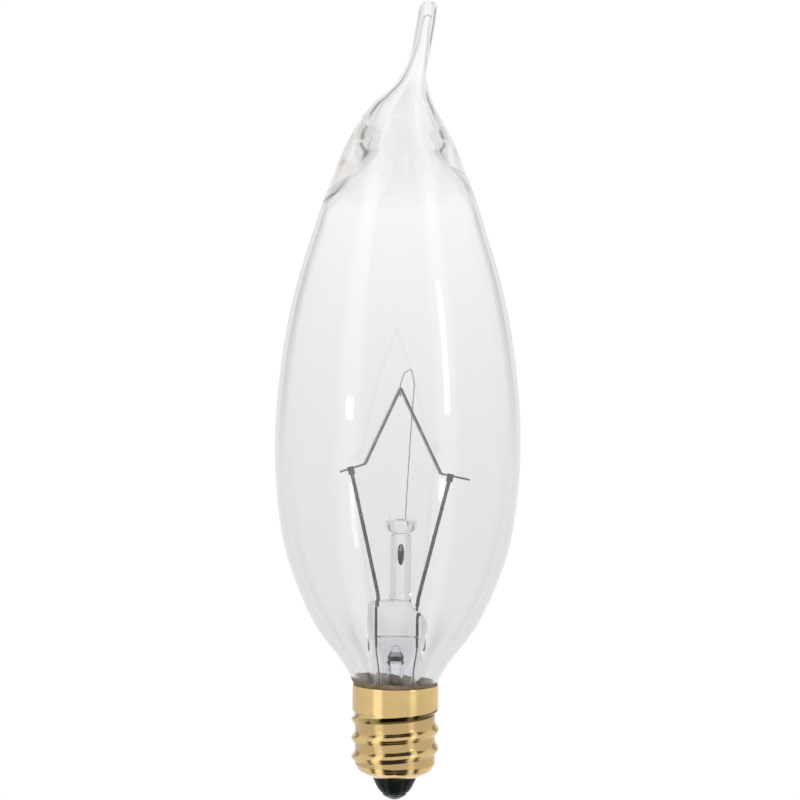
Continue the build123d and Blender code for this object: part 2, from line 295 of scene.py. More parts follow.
def bead(bm, half_sizes, centre, around, along):
    """A round bead in millimetres. Returns its vertices."""
    verts = bmesh.ops.create_uvsphere(bm, u_segments=around, v_segments=along, radius=1.0)["verts"]
    bmesh.ops.scale(bm, verts=verts, vec=Vector(half_sizes) * MM)
    bmesh.ops.translate(bm, verts=verts, vec=Vector(centre) * MM)
    return verts


def wire_end(bm, place, heading, diameter, sides):
    """The first ring of a wire. Returns its vertices and edges."""
    matrix = Matrix.Translation(place) @ heading.to_track_quat("Z", "Y").to_matrix().to_4x4()
    ring = bmesh.ops.create_circle(bm, segments=sides, radius=diameter / 2, matrix=matrix)["verts"]
    return ring, list({e for v in ring for e in v.link_edges})


def draw_wire(bm, points, diameter, bend=0.0, sides=14):
    """A round wire through points in millimetres, with bends of one radius made by spinning its end."""
    points = [Vector(p) * MM for p in points]
    place = points[0]
    heading = (points[1] - place).normalized()
    _, caps = wire_end(bm, place, heading, diameter, sides)
    ends = caps
    for here, after in zip(points[1:], points[2:] + [None]):
        trim = 0.0
        if after:
            leave = (after - here).normalized()
            angle = heading.angle(leave)
            room = min((after - here).length * 0.45, (here - place).length * 0.9)
            trim = min(bend * MM * tan(angle / 2), room)
        grown = bmesh.ops.extrude_edge_only(bm, edges=ends)["geom"]
        ends = [e for e in only(BMEdge, grown) if len(e.link_faces) < 2]
        moved = list({v for e in ends for v in e.verts})
        bmesh.ops.translate(bm, verts=moved, vec=here - heading * trim - place)
        place = here - heading * trim
        if after and angle > 0.001:
            axis = heading.cross(leave).normalized()
            centre = place + axis.cross(heading) * (trim / tan(angle / 2))
            swept = bmesh.ops.spin(
                bm, geom=moved + ends, cent=centre, axis=axis, angle=angle, steps=max(3, round(angle * 10))
            )
            ends = only(BMEdge, swept["geom_last"])
            place = here + leave * trim
            heading = leave
    for loop in (caps, ends):
        bmesh.ops.edgeloop_fill(bm, edges=loop)
    bmesh.ops.recalc_face_normals(bm, faces=bm.faces)


def wind_coil(bm, start, end, diameter, wire, pitch):
    """A close coil between two points in millimetres, made by spinning a small circle along its axis."""
    start, end = Vector(start) * MM, Vector(end) * MM
    run = end - start
    axis = run.normalized()
    turns = run.length / pitch
    steps = round(turns * 14)
    out = run.orthogonal().normalized()
    ring, edges = wire_end(bm, start + out * (diameter - wire) / 2, axis.cross(out), wire, 6)
    swept = bmesh.ops.spin(
        bm, geom=ring + edges, cent=start, axis=axis, dvec=run / steps, angle=tau * turns, steps=steps
    )
    for loop in (edges, only(BMEdge, swept["geom_last"])):
        bmesh.ops.edgeloop_fill(bm, edges=loop)


def new_object(bm, name, *materials):
    """Puts a shape and its materials in the scene."""
    mesh = bpy.data.meshes.new(name)
    bm.to_mesh(mesh)
    bm.free()
    for material in materials:
        mesh.materials.append(material)
    piece = bpy.data.objects.new(name, mesh)
    bpy.context.scene.collection.objects.link(piece)
    return piece


def finish_piece(bm, name, node, slot, *materials, sharp=40):
    """Makes the smooth-shaded object that stands for a CAD node."""
    if bm.calc_volume(signed=True) < 0:
        bmesh.ops.reverse_faces(bm, faces=bm.faces)
    piece = new_object(bm, name, *materials)
    piece.data.shade_smooth()
    piece.data.set_sharp_from_angle(angle=radians(sharp))
    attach(piece, "root")
    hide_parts(node)


# Materials


def add_node(tree, kind, values=None, **settings):
    """A shader node with its settings and unlinked inputs."""
    node = tree.nodes.new(kind)
    for name, value in settings.items():
        setattr(node, name, value)
    for name, value in (values or {}).items():
        node.inputs[name].default_value = value
    return node


def link(tree, *pairs):
    """Joins shader sockets, each pair from an output to an input."""
    for source, target in pairs:
        tree.links.new(source, target)


def axis_height(tree):
    """The height along the bulb's axis."""
    place = tree.nodes.new("ShaderNodeTexCoord")
    axis = tree.nodes.new("ShaderNodeSeparateXYZ")
    tree.links.new(place.outputs["Object"], axis.inputs["Vector"])
    return axis.outputs["Z"]


def mottle_group():
    """Soft blotches: a mask and a value that drifts between two limits over the surface."""
    if "Mottle" in bpy.data.node_groups:
        return bpy.data.node_groups["Mottle"]
    tree = bpy.data.node_groups.new("Mottle", "ShaderNodeTree")
    for label, default in (("Scale", 200.0), ("Low", 0.1), ("High", 0.2)):
        socket = tree.interface.new_socket(label, in_out="INPUT", socket_type="NodeSocketFloat")
        socket.default_value = default
    for label in ("Mask", "Value"):
        tree.interface.new_socket(label, in_out="OUTPUT", socket_type="NodeSocketFloat")
    given = tree.nodes.new("NodeGroupInput")
    result = tree.nodes.new("NodeGroupOutput")
    place = tree.nodes.new("ShaderNodeTexCoord")
    noise = add_node(tree, "ShaderNodeTexNoise", {"Detail": 4.0, "Roughness": 0.55})
    mask = add_node(tree, "ShaderNodeMapRange", {"From Min": 0.35, "From Max": 0.65})
    value = add_node(tree, "ShaderNodeMapRange")
    link(
        tree,
        (place.outputs["Object"], noise.inputs["Vector"]),
        (given.outputs["Scale"], noise.inputs["Scale"]),
        (noise.outputs["Fac"], mask.inputs["Value"]),
        (mask.outputs["Result"], value.inputs["Value"]),
        (given.outputs["Low"], value.inputs["To Min"]),
        (given.outputs["High"], value.inputs["To Max"]),
        (mask.outputs["Result"], result.inputs["Mask"]),
        (value.outputs["Result"], result.inputs["Value"]),
    )
    return tree


def mottle(tree, **values):
    """Blotches with their own values."""
    return add_node(tree, "ShaderNodeGroup", values, node_tree=mottle_group())


def rolled_lines(tree, density):
    """The height of fine rings round the bulb's axis, as rolling leaves on metal."""
    along = add_node(tree, "ShaderNodeMath", {1: density}, operation="MULTIPLY")
    noise = add_node(tree, "ShaderNodeTexNoise", {"Scale": 1.0, "Detail": 3.0}, noise_dimensions="1D")
    link(tree, (axis_height(tree), along.inputs[0]), (along.outputs["Value"], noise.inputs["W"]))
    return noise.outputs["Fac"]


def new_material(name, **values):
    """A material with its main shader's plain values set."""
    material = bpy.data.materials.new(name)
    material.use_nodes = True
    shader = material.node_tree.nodes["Principled BSDF"]
    for label, value in values.items():
        shader.inputs[label.replace("_", " ")].default_value = value
    return material, material.node_tree, shader


def bump(tree, shader, height, strength, distance):
    """Feeds a height into the shader's normal."""
    node = add_node(tree, "ShaderNodeBump", {"Strength": strength, "Distance": distance})
    link(tree, (height, node.inputs["Height"]), (node.outputs["Normal"], shader.inputs["Normal"]))


def blend(tree, shader, factor, first, second):
    """Lets the shader's colour drift from one colour to another."""
    mix = add_node(tree, "ShaderNodeMix", {"A": (*first, 1), "B": (*second, 1)}, data_type="RGBA")
    link(tree, (factor, mix.inputs["Factor"]), (mix.outputs["Result"], shader.inputs["Base Color"]))


def largest(tree, sockets):
    """The largest of several values."""
    found = sockets[0]
    for socket in sockets[1:]:
        node = add_node(tree, "ShaderNodeMath", operation="MAXIMUM")
        link(tree, (found, node.inputs[0]), (socket, node.inputs[1]))
        found = node.outputs["Value"]
    return found


def mix_shaders(tree, factor, first, second, output):
    """Shows one shader or another, by a factor."""
    mix = tree.nodes.new("ShaderNodeMixShader")
    link(
        tree,
        (factor, mix.inputs["Fac"]),
        (first, mix.inputs[1]),
        (second, mix.inputs[2]),
        (mix.outputs["Shader"], output.inputs["Surface"]),
    )


def glass_material(name, glass, density, waviness, tint=None):
    """Clear glass that lets light through to what stands inside and greys where it is thick."""
    tint = (*(tint or glass.tint), 1)
    material, tree, shader = new_material(
        name, Base_Color=tint, Transmission_Weight=1.0, IOR=1.5, Roughness=0.0
    )
    drift = mottle(tree, Scale=waviness)
    bump(tree, shader, drift.outputs["Mask"], 0.05, 0.1 * MM)
    path = tree.nodes.new("ShaderNodeLightPath")
    passing = [path.outputs["Is Shadow Ray"]]
    for label, limit in PASSING_DEPTHS:
        deep = add_node(tree, "ShaderNodeMath", {1: limit}, operation="GREATER_THAN")
        tree.links.new(path.outputs[label], deep.inputs[0])
        passing.append(deep.outputs["Value"])
    clear = add_node(tree, "ShaderNodeBsdfTransparent", {"Color": tint})
    depth = add_node(tree, "ShaderNodeVolumeAbsorption", {"Density": density})
    depth.inputs["Color"].default_value = (*glass.depth_tint, 1)
    output = tree.nodes["Material Output"]
    mix_shaders(tree, largest(tree, passing), shader.outputs["BSDF"], clear.outputs["BSDF"], output)
    tree.links.new(depth.outputs["Volume"], output.inputs["Volume"])
    return material


def metal_material(name, base, dark, roughness, scale):
    """Bare metal whose colour and gloss drift a little."""
    material, tree, shader = new_material(name, Metallic=1.0)
    gloss = mottle(tree, Scale=scale, Low=roughness * 0.75, High=roughness * 1.25)
    patches = mottle(tree, Scale=scale * 0.4)
    blend(tree, shader, patches.outputs["Mask"], base, dark)
    tree.links.new(gloss.outputs["Value"], shader.inputs["Roughness"])
    return material


def brass_material(base):
    """Rolled brass, bright on crests and collar, with random tarnish patches and painted shade that browns
    the thread's roots and the step under the collar.
    """
    material, tree, shader = new_material("rolled brass", Metallic=1.0)
    gloss = mottle(tree, Scale=900.0, Low=0.1, High=0.17)
    patches = mottle(tree, Scale=260.0, Low=0.0, High=0.18)
    root = add_node(tree, "ShaderNodeAttribute", attribute_name="root_and_step_shade")
    # The larger of the painted shade stored on the mesh and the random tarnish patches
    shade_and_tarnish = largest(tree, [root.outputs["Fac"], patches.outputs["Value"]])
    blend(tree, shader, shade_and_tarnish, base.brass, base.shaded_and_tarnished_brass)
    tree.links.new(gloss.outputs["Value"], shader.inputs["Roughness"])
    bump(tree, shader, rolled_lines(tree, 9000.0), 0.12, 0.02 * MM)
    return material


def dull_material(name, base, dark, roughness, scale, grain):
    """A non-metal whose colour drifts between two tones, with a grainy skin."""
    material, tree, shader = new_material(name, Metallic=0.0)
    tone = mottle(tree, Scale=scale, Low=roughness * 0.85, High=roughness * 1.1)
    blend(tree, shader, tone.outputs["Mask"], base, dark)
    tree.links.new(tone.outputs["Value"], shader.inputs["Roughness"])
    bump(tree, shader, tone.outputs["Mask"], grain, 0.1 * MM)
    return material


# Pieces


def press_drop(x):
    """How far the soft press slumped below its top at a place across it, in millimetres."""
    return SLUMP * max(0.0, x - SLUMP_START) ** 2


class BULB_OT_envelope(Operator):
    """Blow the clear envelope with its thick shoulder and its drawn, bent tail"""

    bl_idname = "bulb.envelope"
    bl_label = "Glass envelope"

    def execute(self, context):
        glass = context.scene.bulb_glass
        tip = glass.tip_height / MM
        outside, inside = self.walls(glass, tip)
        lean_outside = [
            (0.0, 86.0, 0.0), (0.1, 91.5, 0.06), (0.41, 93.6, 0.36), (1.1, 95.1, 0.42), (1.6, 96.9, 0.3),
            (2.3, 99.1, 0.26), (3.05, 103.0, 0.17), (3.6, tip, 0.12),
        ]
        lean_inside = [
            (0.0, 78.0, 0.0), (0.3, 84.4, 0.04), (0.3, 88.0, -0.04), (0.2, 90.0, 0.0), (0.42, 93.0, 0.22),
            (0.85, 94.3, 0.4), (1.69, 96.7, 0.3), (2.22, 98.6, 0.25), (2.69, 100.6, 0.2), (3.1, 103.3, 0.13),
            (3.4, tip - 2.0, 0.12),
        ]
        bm = two_walls(
            flow(outside) + dome(*outside[-1][:2], tip),
            flow(inside) + dome(*inside[-1][:2], tip - 1.8),
            lambda p: p + Vector((level(lean_outside, p.z), 0, 0)),
            lambda p: p + Vector((level(lean_inside, p.z), 0, 0)),
        )
        material = glass_material("clear glass", glass, 45.0, 90.0)
        # Painted shade, greyer from the shoulder down to the neck
        self.shade_towards_neck(material.node_tree, glass)
        finish_piece(bm, "blown_envelope", "glass_envelope", "clear_glass", material, sharp=80)
        return {"FINISHED"}

    def walls(self, glass, tip):
        """Knots of the outer and the inner wall, which run side by side where the glass was blown."""
        belly = glass.belly_diameter / MM / 2
        wall = glass.wall / MM
        foot = glass.foot_height / MM
        # Radius, height and slope outside, then the inner wall's distance in walls and its slope
        blown = [
            (*NECK[2], 1.2, 0.66), (10.1, 22.4, 0.71, 1.22, 0.71), (12.2, 26.2, 0.47, 1.12, 0.48),
            (13.72, 29.9, 0.36, 1.06, 0.36), (14.95, 33.7, 0.25, 1.03, 0.25), (15.92, 39.3, 0.115, 1, 0.115),
            (belly, 47.5, 0.0, 1, 0.0), (15.92, 56.1, -0.11, 1, -0.11), (14.5, 65.5, -0.215, 1.02, -0.215),
            (12.55, 73.0, -0.31, 1, -0.31), (11.25, 77.0, -0.315, 1, -0.33),
        ]
        outside = [(NECK_RADIUS, foot, 0.0), *NECK[:2]]
        outside += [knot[:3] for knot in blown]
        outside += [
            (10.18, 80.4, -0.34), (8.75, 84.2, -0.405), (7.16, 88.0, -0.47), (5.08, 91.7, -0.62),
            (3.87, 93.6, -0.74), (2.73, 95.1, -0.76), (1.75, 96.9, -0.36), (1.33, 99.1, -0.06),
            (1.28, 103.0, 0.0), (1.26, tip - 1.2, 0.0),
        ]
        inside = [(NECK_BORE, foot, 0.0), (NECK_BORE, 12.2, 0.03), (4.75, 15.5, 0.45)]
        inside += [(radius - wall * share, height, slope) for radius, height, _, share, slope in blown]
        inside += [
            (9.55, 80.4, -0.46), (8.65, 82.1, -0.62), (6.95, 84.7, -0.74), (5.45, 86.7, -0.76),
            (4.9, 87.5, -0.4), (4.72, 88.3, -0.05), (4.6, 89.7, -0.13), (4.08, 91.4, -0.36),
            (3.3, 93.0, -0.52), (2.4, 94.3, -0.62), (1.3, 96.6, -0.32), (0.92, 98.6, -0.15),
            (0.66, 100.6, -0.1), (0.5, 103.3, -0.03), (0.46, tip - 2.4, 0.0),
        ]
        return outside, inside

    def shade_towards_neck(self, tree, glass):
        """Paints shade into the glass: it goes a little greyer from its shoulder down to its neck."""
        height = add_node(tree, "ShaderNodeMapRange", {"From Min": 18 * MM, "From Max": 80 * MM})
        share = add_node(tree, "ShaderNodeMath", {1: 2.0}, operation="POWER")
        link(tree, (axis_height(tree), height.inputs["Value"]), (height.outputs["Result"], share.inputs[0]))
        shader = tree.nodes["Principled BSDF"]
        blend(tree, shader, share.outputs["Value"], glass.neck_shade_tint, glass.tint)


class BULB_OT_stem(Operator):
    """Draw the stem tube, pinch it to the flat press and set the exhaust tube inside it"""

    bl_idname = "bulb.stem"
    bl_label = "Stem and exhaust tube"

    def execute(self, context):
        glass = context.scene.bulb_glass
        material = glass_material("stem glass", glass, 10.0, 420.0)
        # Darker grey glass for the inside of the pear: painted shade
        hollow = glass_material("drawn hollow", glass, 30.0, 600.0, (0.5, 0.49, 0.48))
        self.flare(context.scene.bulb_mount, material)
        self.exhaust(material, hollow)
        return {"FINISHED"}

    def flare(self, mount, material):
        """The tube from its flared foot up to the press."""
        radius = mount.stem_radius / MM
        bore = radius - STEM_WALL
        half_width = mount.press_width / MM / 2
        half_depth = mount.press_depth / MM / 2
        outside = [(NECK_RADIUS, FLARE_FOOT), (NECK_RADIUS, 9.0), (4.0, 9.15), (3.62, 10.0)]
        outside += [(radius, FLARE_TOP), *straight(radius, FLARE_TOP, PRESS_HIGH - 0.9, 34)]
        rounded = ((0.985, -0.45), (0.93, -0.16), (0.84, 0.0), (0.6, 0.04), (0.3, 0.04), (0.0, 0.04))
        outside += [(radius * share, PRESS_HIGH + rise) for share, rise in rounded]
        inside = [(4.1, FLARE_FOOT), (3.5, 8.9), (3.0, 9.9)]
        inside += [(bore, FLARE_TOP), *straight(bore, FLARE_TOP, WEB - 0.3, 24)]
        inside += [(bore * 0.8, WEB - 0.05), (bore * 0.5, WEB), (0.0, WEB)]
        bm = two_walls(
            outside, inside,
            self.pinched(radius, half_width, half_depth, PRESS_LOW),
            self.pinched(bore, half_width - 0.8, 0.55, WEB),
        )
        finish_piece(bm, "pinched_stem", "stem_flare", "stem_glass", material, sharp=60)

    def pinched(self, full, wide, deep, high):
        """Gives a function that presses a round section flat, more and more up to a height."""

        def move(point):
            if point.z <= PINCH_LOW:
                return point
            t = fade(point.z, PINCH_LOW, high - PINCH_LOW)
            share = hypot(point.x, point.y) / full
            angle = atan2(point.y, point.x)
            blunt = 1 - 0.42 * t
            x = share * (full + (wide - full) * t) * copysign(abs(cos(angle)) ** blunt, cos(angle))
            y = share * (full + (deep - full) * t) * copysign(abs(sin(angle)) ** blunt, sin(angle))
            rise = max(0.0, (point.z - PRESS_LOW) / (PRESS_HIGH - PRESS_LOW))
            return Vector((x + PRESS_LEAN * (point.z - PINCH_LOW), y, point.z - rise * press_drop(x)))

        return move

    def exhaust(self, material, hollow):
        """The tube inside the stem, tipped off below and pear-shaped above."""
        outside = [(0.0, 6.6), (0.3, 6.7), (0.7, 7.1), (1.1, 8.1), (1.1, 17.6), (1.28, 18.5), (1.36, 19.2)]
        outside += [(1.25, 19.9), (0.9, 20.5), (0.45, 20.9), (0.0, 21.0)]
        inside = [(0.0, 7.6), (0.6, 7.9), (0.72, 8.4), (0.72, 17.6), (0.85, 18.4), (1.06, 19.0), (1.0, 19.6)]
        inside += [(0.65, 20.2), (0.25, 20.6), (0.0, 20.65)]
        grey_low, grey_high = 18.6 * MM, 20.1 * MM
        bm = turned(outside, 0.3)
        inner = faces_of(turn(bm, inside, soften=0.2))
        bmesh.ops.recalc_face_normals(bm, faces=inner)
        bmesh.ops.reverse_faces(bm, faces=inner)
        # Inner faces of the pear take the darker glass, painted shade
        for face in inner:
            face.material_index = int(grey_low < face.calc_center_median().z < grey_high)
        finish_piece(bm, "tipped_exhaust", "exhaust_tube", "stem_glass", material, hollow, sharp=50)


class BULB_OT_rod(Operator):
    """Set the glass rod with its button and its long bubble on the press"""

    bl_idname = "bulb.rod"
    bl_label = "Button rod"

    def execute(self, context):
        glass = context.scene.bulb_glass
        rod = context.scene.bulb_mount.rod_diameter / MM / 2
        button = context.scene.bulb_mount.button_diameter / MM / 2
        body = [(0.0, ROD_SEAT), (rod * 1.15, ROD_SEAT), (rod, 28.0), (rod, 35.7), (rod * 1.12, 36.2)]
        body += [(button * 0.9, 36.5), (button, 36.9), (button, 37.5), (button * 0.9, 37.9)]
        body += [(button * 0.5, 38.0), (0.0, 38.0)]
        bm = turned(body, 0.12)
        bmesh.ops.translate(bm, verts=bm.verts, vec=(ROD_X * MM, 0, 0))
        for vert in bm.verts:
            share = max(0.0, 1 - (vert.co.z / MM - ROD_SEAT) / SLUMP_REACH)
            vert.co.z -= press_drop(vert.co.x / MM) * share * MM
        # The bubble's skin takes the second, dark grey glass: painted shade for the bubble's dark look
        skin = faces_of(bead(bm, (0.42, 0.42, 1.45), (ROD_X, 0, 33.2), 32, 20))
        bmesh.ops.reverse_faces(bm, faces=skin)
        for face in skin:
            face.material_index = 1
        material = glass_material("rod glass", glass, 10.0, 600.0)
        # Dark grey glass, painted shade
        bubble = glass_material("bubble skin", glass, 30.0, 600.0, (0.4, 0.41, 0.41))
        finish_piece(bm, "glass_rod", "button_rod", "stem_glass", material, bubble, sharp=50)
        return {"FINISHED"}


class BULB_OT_leads(Operator):
    """Bend the nickel leads up from the press and fold their flat ends over the filament's tails"""

    bl_idname = "bulb.leads"
    bl_label = "Inner leads"

    def execute(self, context):
        mount = context.scene.bulb_mount
        material = metal_material("nickel wire", mount.nickel, (0.12, 0.115, 0.105), 0.26, 1500.0)
        left_run = Vector((3.35, 0, 1.1)).normalized()
        right_run = Vector((3.95, 0, -0.8)).normalized()
        self.lead("left", (-2.5, -2.34), Vector((-6.25, 0, 44.58)), left_run, mount, material)
        self.lead("right", (2.8, 2.95), Vector((7.05, 0, 43.74)), right_run, mount, material)
        return {"FINISHED"}

    def lead(self, side, feet, hold, run, mount, material):
        """One lead from the press to its clamp on a tail that runs through a point."""
        foot, knee = feet
        up = Vector((-run.z, 0, run.x))
        behind = hold + Vector((0, CLAMP_FOLD, 0))
        bm = bmesh.new()
        route = [(foot, 0, 26.1), (knee, 0, 27.3), behind - up * 0.5]
        draw_wire(bm, route, mount.lead_diameter, bend=5.0)
        edge = [behind - up * CLAMP_RISE + run * way * CLAMP_HALF_WIDTH for way in (-1, 1)]
        line = [bm.verts.new(p * MM) for p in edge]
        line, strip = self.pull(bm, [bm.edges.new(line)], up * CLAMP_RISE)
        swept = bmesh.ops.spin(bm, geom=line + strip, cent=hold * MM, axis=run, angle=pi, steps=10)
        line, strip = self.leading_edge(swept["geom_last"])
        line, strip = self.pull(bm, strip, -up * CLAMP_LAP)
        sheet = self.linked(strip[0])
        bmesh.ops.recalc_face_normals(bm, faces=sheet)
        bmesh.ops.solidify(bm, geom=sheet, thickness=CLAMP_THICKNESS * MM)
        finish_piece(bm, f"{side}_lead", f"{side}_inner_lead", "nickel", material, sharp=50)

    def pull(self, bm, strip, step):
        """Lengthens the flat end by a step in millimetres."""
        grown = bmesh.ops.extrude_edge_only(bm, edges=strip)["geom"]
        bmesh.ops.translate(bm, verts=only(BMVert, grown), vec=step * MM)
        return self.leading_edge(grown)

    def leading_edge(self, geometry):
        """The vertices and the edge where the flat end was last lengthened."""
        line = only(BMVert, geometry)
        return line, [e for e in only(BMEdge, geometry) if set(e.verts) == set(line)]

    def linked(self, edge):
        """The faces joined to an edge through shared edges."""
        found = set(edge.link_faces)
        fresh = set(found)
        while fresh:
            fresh = {f for face in fresh for e in face.edges for f in e.link_faces} - found
            found |= fresh
        return list(found)


class BULB_OT_sealed_wires(Operator):
    """Run the copper wires through the press and down into the base"""

    bl_idname = "bulb.sealed_wires"
    bl_label = "Seal wires and outer leads"

    def execute(self, context):
        mount = context.scene.bulb_mount
        copper = metal_material("copper wire", mount.copper, (0.14, 0.11, 0.095), 0.35, 1200.0)
        below = {
            "left": [
                (-2.2, 0, 16.8), (-2.27, 0, 8.65), (-2.27, 2.46, 7.9), (0, 4.93, 7.9), (0, 4.93, 12.7),
                (0, 5.28, 14.2), (0, 5.75, 14.2),
            ],
            "right": [(2.42, 0, 17.0), (2.27, 0, 7.4), (0, 0, 6.05), (0, 0, 0.75)],
        }
        for side, x in SEAL_X.items():
            bm = bmesh.new()
            draw_wire(bm, [(x, 0, SEAL_LOW), (x, 0, SEAL_HIGH)], mount.seal_diameter)
            finish_piece(bm, f"{side}_seal", f"{side}_seal_wire", "copper", copper)
        for side, x in SEAL_X.items():
            bm = bmesh.new()
            route = [(x, 0, SEAL_LOW - 0.1), (x, 0, SEAL_LOW - 0.5), *below[side]]
            draw_wire(bm, route, mount.outer_diameter, bend=0.4)
            finish_piece(bm, f"{side}_outer", f"{side}_outer_lead", "copper", copper)
        return {"FINISHED"}


class BULB_OT_filament(Operator):
    """Wind the tungsten coil up to its peak and down again, with straight tails through the clamps"""

    bl_idname = "bulb.filament"
    bl_label = "Filament"

    def execute(self, context):
        mount = context.scene.bulb_mount
        bm = bmesh.new()
        for start, end in ((COIL_LEFT, COIL_PEAK), (COIL_PEAK, COIL_RIGHT)):
            wind_coil(bm, start, end, mount.coil_diameter, mount.coil_wire, mount.coil_pitch)
        for start, end in ((COIL_LEFT, (-7.65, 0, 44.12)), (COIL_RIGHT, (9.65, 0, 43.21))):
            draw_wire(bm, [start, end], mount.tail_diameter)
        material = metal_material("tungsten", mount.tungsten, (0.26, 0.25, 0.245), 0.38, 2500.0)
        finish_piece(bm, "coiled_filament", "filament", "tungsten", material)
        return {"FINISHED"}


class BULB_OT_support(Operator):
    """Stand the fine support wire in the button and hook it under the filament's peak"""

    bl_idname = "bulb.support"
    bl_label = "Support wire"

    def execute(self, context):
        peak = COIL_PEAK[0]
        route = [(1.15, 0, 37.1), (1.15, 0, 38.9), (1.78, 0.4, 50.4), (2.15, 0.65, 55.8), (1.75, 0.62, 58.0)]
        hook = [(0.74, -0.4, 57.4), (peak, -0.455, 55.9), (peak, -0.455, 54.3), (peak, 0.4, 54.25)]
        bm = bmesh.new()
        draw_wire(bm, route + hook, context.scene.bulb_mount.support_diameter, bend=0.45, sides=10)
        material = metal_material("molybdenum", (0.5, 0.5, 0.5), (0.33, 0.33, 0.34), 0.3, 1800.0)
        finish_piece(bm, "hooked_support", "support_wire", "molybdenum", material)
        return {"FINISHED"}


class BULB_OT_shell(Operator):
    """Turn the brass shell and roll its round right-hand thread"""

    bl_idname = "bulb.shell"
    bl_label = "Screw shell"

    def execute(self, context):
        base = context.scene.bulb_base
        crest = base.crest_diameter / MM / 2
        depth = base.thread_depth / MM
        collar = base.collar_diameter / MM / 2
        mean = crest - depth / 2
        bm = bmesh.new()
        tone = bm.verts.layers.float.new("root_and_step_shade")
        for vert in turn(bm, self.section(mean, collar, base.wall / MM), steps=THREAD_STEPS):
            radius = hypot(vert.co.x, vert.co.y) / MM
            z = vert.co.z / MM
            if abs(radius - mean) > 0.02 or not THREAD_LOW <= z <= THREAD_HIGH:
                continue
            around = (atan2(vert.co.y, vert.co.x) + pi / 2) / tau
            surface, shade_and_tarnish = self.rolled(z, around, crest, crest - depth, collar, base.thread_pitch / MM)
            vert.co.x *= surface / radius
            vert.co.y *= surface / radius
            # Painted shade: darker in the thread's roots and on the step under the collar
            vert[tone] = max(shade_and_tarnish, ROOT_SHADE * fade(crest - surface, 0, depth))
        bmesh.ops.recalc_face_normals(bm, faces=bm.faces)
        finish_piece(bm, "threaded_shell", "screw_shell", "brass", brass_material(base), sharp=50)
        return {"FINISHED"}

    def section(self, mean, collar, wall):
        """The shell's closed section before its thread is rolled."""
        bore = collar - wall
        bowl = [(2.95, 3.08), (3.15, 3.14), (3.5, 3.3), (3.9, 3.5), (4.4, 3.77), (4.74, 4.0), (4.92, 4.18)]
        bowl += [(5.05, 4.4), (5.13, 4.65)]
        threaded = [(mean, THREAD_LOW), *straight(mean, THREAD_LOW, THREAD_HIGH, 84)]
        sleeve = [(collar, z) for z in (12.6, 12.75, 14.2, RIM - 0.22, RIM - 0.1)]
        lip = [(collar - 0.04, RIM - 0.02), (collar - 0.11, RIM), (collar - 0.18, RIM - 0.02)]
        inside = [(bore, RIM - 0.1), (bore, 13.3), (5.1, 12.7), (5.1, 5.0), (4.2, 3.86), (2.95, 3.3)]
        return bowl + threaded + sleeve + lip + inside + bowl[:1]

    def rolled(self, z, around, crest, root, collar, pitch):
        """Radius of the rolled wall and its painted shade on the step under the collar, at a height and a
        share of a turn from the front.
        """
        place = (z - FIRST_CREST) / pitch - around
        line = FIRST_CREST + pitch * (round(place) + around)
        body = root - FOOT_TUCK * (1 - fade(z, THREAD_LOW, 0.8))
        ridge = ((1 + cos(tau * place)) / 2) ** RIDGE_POWER * fade(line, RIDGE_START, 0.9)
        thread = body + (crest - body) * ridge
        dip = root - UNDERCUT * fade(z, line - 1.25, 0.6)
        climb = min(1.0, max(0.0, (z - line + STEP_DROP) / STEP_HEIGHT))
        step = dip + (collar - dip) * (0.85 * climb + 0.15 * fade(climb, 0, 1))
        # Painted shade in a band on the step where the thread runs into the collar
        merged = fade(line, RUN_OUT_START, 0.5)
        shade_and_tarnish = merged * fade(z, line - 0.6, 0.2) * (1 - fade(z, line + 0.25, 0.2))
        sleeve = root + (collar - root) * fade(z, COLLAR_START, 0.45)
        return max(thread + (step - thread) * merged, sleeve), shade_and_tarnish


class BULB_OT_insulator(Operator):
    """Mould the black glass cone in the foot of the shell"""

    bl_idname = "bulb.insulator"
    bl_label = "Insulator"

    def execute(self, context):
        body = [(0.65, 5.5), (5.05, 5.5), (5.05, 5.05), (4.15, 3.9), (2.95, 3.33), (2.94, 3.0), (2.62, 2.3)]
        body += [(2.35, 1.75), (2.05, 1.3), (1.75, 0.98), (0.65, 0.96), (0.65, 5.5)]
        black, lit = (0.006, 0.009, 0.006), (0.012, 0.016, 0.012)
        material = dull_material("black glass", black, lit, 0.2, 500.0, 0.04)
        material.node_tree.nodes["Principled BSDF"].inputs["Specular IOR Level"].default_value = 0.12
        bm = turned(body, 0.14)
        finish_piece(bm, "black_insulator", "base_insulator", "black_glass", material, sharp=60)
        return {"FINISHED"}


class BULB_OT_contacts(Operator):
    """Set the eyelet, its solder dome and the solder spot at the back of the collar"""

    bl_idname = "bulb.contacts"
    bl_label = "Contacts"

    def execute(self, context):
        worn = metal_material("worn solder", (0.14, 0.155, 0.165), (0.1, 0.11, 0.12), 0.34, 700.0)
        bright = metal_material("bright solder", (0.56, 0.58, 0.6), (0.4, 0.42, 0.44), 0.3, 700.0)
        eyelet = metal_material("eyelet brass", (0.8, 0.58, 0.27), (0.6, 0.42, 0.18), 0.25, 700.0)
        washer = [(0.45, 0.76), (1.36, 0.76), (1.36, 0.94), (0.45, 0.94), (0.45, 0.76)]
        drop = [(0.0, 0.75), (1.38, 0.75), (1.4, 0.95), (1.54, 0.94), (1.6, 0.82), (1.52, 0.65), (1.28, 0.48)]
        drop += [(0.9, 0.28), (0.45, 0.09), (0.0, 0.0)]
        finish_piece(turned(washer, 0.05), "contact_eyelet", "centre_contact", "brass", eyelet)
        finish_piece(turned(drop, 0.1), "solder_dome", "centre_solder", "solder", worn)
        bm = bmesh.new()
        bead(bm, (0.64, 0.34, 0.64), (0, 5.75, 14.2), 28, 16)
        finish_piece(bm, "solder_spot", "side_solder", "solder", bright)
        return {"FINISHED"}


